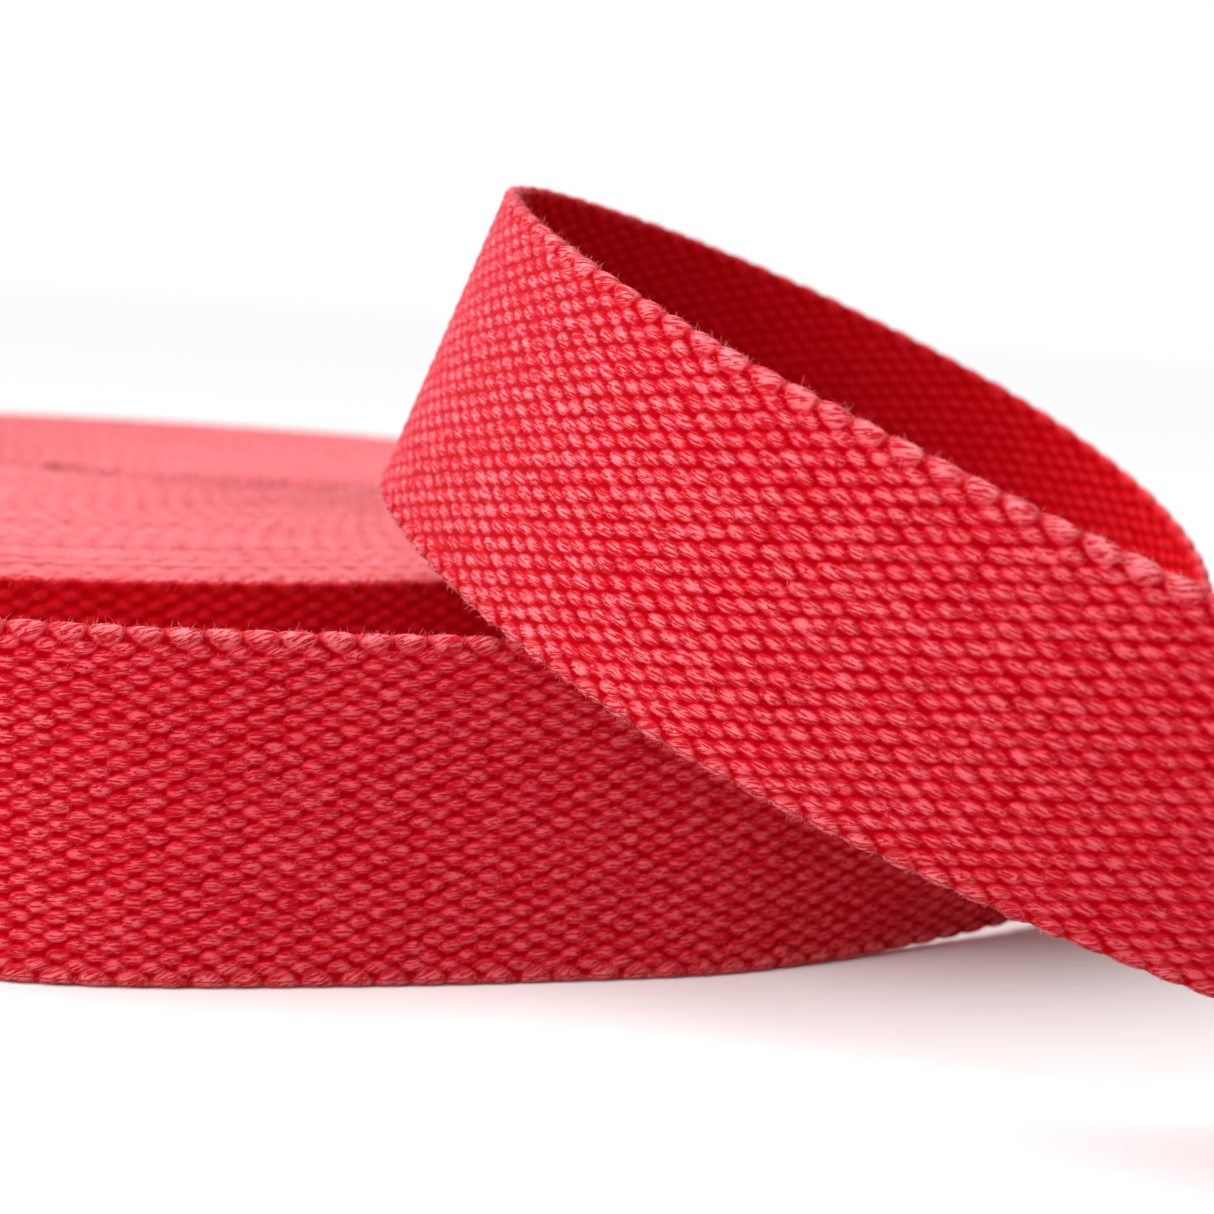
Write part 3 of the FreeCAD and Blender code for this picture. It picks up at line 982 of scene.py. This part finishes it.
# Name, bodies, a pair of distances along the tape, and the CAD node that it stands for.
TAPES = [
    ("tape_take_off", ("roll", "loose_turn"), (-10.0, 12.0), "loose_turn"),
    ("tape_front", ("loose_turn",), None, "loose_turn"),
    ("tape_right_turn", ("loose_turn", "raised_loop"), (256.0, 284.0), "loose_turn"),
    ("tape_far_side", ("raised_loop",), None, "raised_loop"),
    ("tape_left_turn", ("raised_loop", "front_band"), (406.0, 434.0), "raised_loop"),
    ("tape_band", ("front_band",), None, "front_band"),
    ("tape_tail", ("front_band", "free_tail"), (606.0, 626.0), "free_tail"),
]

# Name, first turn, last turn, steps of the mesh to a turn, and fibres.
COIL_BANDS = [
    ("coil_centre", 0.0, 14.0, 200, 1000),
    ("coil_inner", 14.0, 28.0, 340, 2000),
    ("coil_middle", 28.0, 40.0, 500, 2600),
    ("coil_outer", 40.0, 49.0, 600, 2800),
    ("coil_rim", 49.0, INNER_TURNS - 1, 680, 3600),
]


def at(s):
    """A point of the path in metres."""
    return tuple(path(np.array([float(s)]))[0][0] / 1000)


def paint_cad_nodes():
    for node, material in (("core_tube", DYED_BOARD), ("starter_tape", GUMMED_PAPER)):
        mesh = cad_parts[node].data
        mesh.materials.clear()
        mesh.materials.append(material)


def make_free_tape():
    ring = ring_samples(4, 6, 3)
    fuzz = TAPE_FUZZ_PER_MM
    for number, (name, bodies, bend, node) in enumerate(TAPES):
        stations = np.arange(TAPE_CUTS[number], TAPE_CUTS[number + 1] + 1) * FINE_STEP
        last = number == len(TAPES) - 1
        tape = make_tape(name, stations, ring, fuzz, 10 * number, cut_end=last)
        if bend is None:
            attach(tape, bodies[0])
        else:
            at(bend[0])
            at(bend[1])
            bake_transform(tape)
        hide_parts(node)
        if last:
            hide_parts("front_band")


def add_to_coil(piece):
    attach(piece, "roll")
    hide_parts("wound_coil")


def make_coil():
    """The coil's last turn, whose face shows, and the turns inside it."""
    ring = ring_samples(3, 4, 0.25)
    fuzz = COIL_FUZZ_PER_MM
    first = -int(LAST_TURN_LENGTH / COARSE_STEP)
    cuts = np.linspace(first, FINE_START / COARSE_STEP, LAST_TURN_PIECES + 1)
    for number in range(LAST_TURN_PIECES):
        low, high = cuts[number] * COARSE_STEP, cuts[number + 1] * COARSE_STEP
        steps = int(round((high - low) / COARSE_STEP))
        stations = np.linspace(low, high, steps + 1)
        name = "coil_last_turn_%d" % (number + 1)
        add_to_coil(make_tape(name, stations, ring, fuzz, 200 + 10 * number))
    for number, (name, first_turn, last_turn, steps, fibres) in enumerate(COIL_BANDS):
        fuzz = fibres
        add_to_coil(make_coil_band(name, first_turn, last_turn, steps, fuzz, 300 + number))


# ---------------------------------------------------------------- floor, light, camera

# In metres, degrees and watts from here on.
FLOOR_REACH = 6
# The floor and the world look white to the camera. As light they are this strong.
FLOOR_BOUNCE = 0.60
WORLD_STRENGTH = 0.17

# The photo's camera. Pitch is downwards, and roll leans the frame's right side up.
CAMERA_PLACE = (0.0984, -0.3654, 0.0733)
CAMERA_PITCH = 8.49
CAMERA_ROLL = 3.73
CAMERA_LENS = 59.84
FOCUS_POINT = (0.100, -0.168, 0.03)
APERTURE = 24


def white_to_camera(tree, strength):
    """1 for what the camera sees directly, and the given strength for all other light."""
    seen = add_node(tree, "ShaderNodeLightPath").outputs["Is Camera Ray"]
    return compute(tree, "MULTIPLY_ADD", seen, 1 - strength, strength)


def make_floor():
    mesh = bpy.data.meshes.new("floor")
    signs = [(-1, -1), (1, -1), (1, 1), (-1, 1)]
    corners = [(x * FLOOR_REACH, y * FLOOR_REACH, 0) for x, y in signs]
    mesh.from_pydata(corners, [], [(0, 1, 2, 3)])
    floor = bpy.data.objects.new("floor", mesh)
    bpy.context.scene.collection.objects.link(floor)
    material, tree, shader = new_material("floor_white")
    tree.links.new(white_to_camera(tree, FLOOR_BOUNCE), shader.inputs["Base Color"])
    shader.inputs["Roughness"].default_value = 0.8
    shader.inputs["Specular IOR Level"].default_value = 0.1
    mesh.materials.append(material)


def aim_light(name, light, place, target):
    lamp = bpy.data.objects.new(name, light)
    bpy.context.scene.collection.objects.link(lamp)
    lamp.location = place
    aim = Vector(target) - Vector(place)
    lamp.rotation_mode = "QUATERNION"
    lamp.rotation_quaternion = aim.to_track_quat("-Z", "Y")


def make_lights():
    overhead = bpy.data.lights.new("overhead", "SUN")
    overhead.angle = math.radians(60)
    overhead.energy = 2.85
    aim_light("overhead", overhead, (-0.38, 0.10, 0.92), (0, 0, 0))
    front = bpy.data.lights.new("front", "AREA")
    front.shape = "DISK"
    front.size = 0.5
    front.energy = 3.1
    aim_light("front", front, (-0.28, -0.52, 0.30), (0.06, -0.14, 0.02))


def make_world():
    world = bpy.data.worlds.new("studio")
    bpy.context.scene.world = world
    world.use_nodes = True
    tree = world.node_tree
    background = tree.nodes["Background"]
    background.inputs["Color"].default_value = (1, 1, 1, 1)
    tree.links.new(white_to_camera(tree, WORLD_STRENGTH), background.inputs["Strength"])


def make_camera():
    data = bpy.data.cameras.new("camera")
    data.sensor_width = 36
    data.lens = CAMERA_LENS
    data.clip_start = 0.01
    camera = bpy.data.objects.new("camera", data)
    bpy.context.scene.collection.objects.link(camera)
    pitch, roll = math.radians(CAMERA_PITCH), math.radians(CAMERA_ROLL)
    forward = np.array([0, math.cos(pitch), -math.sin(pitch)])
    up = np.array([0, math.sin(pitch), math.cos(pitch)])
    right = np.array([1.0, 0, 0])
    camera_right = math.cos(roll) * right + math.sin(roll) * up
    camera_up = -math.sin(roll) * right + math.cos(roll) * up
    matrix = np.eye(4)
    matrix[:3, 0] = camera_right
    matrix[:3, 1] = camera_up
    matrix[:3, 2] = -forward
    matrix[:3, 3] = CAMERA_PLACE
    camera.matrix_world = Matrix(matrix.tolist())
    focus = bpy.data.objects.new("focus", None)
    bpy.context.scene.collection.objects.link(focus)
    focus.location = FOCUS_POINT
    data.dof.use_dof = True
    data.dof.focus_object = focus
    data.dof.aperture_fstop = APERTURE
    bpy.context.scene.camera = camera


paint_cad_nodes()
make_free_tape()
make_coil()
make_floor()
make_world()
make_lights()
make_camera()
bpy.context.scene.view_settings.view_transform = "Standard"
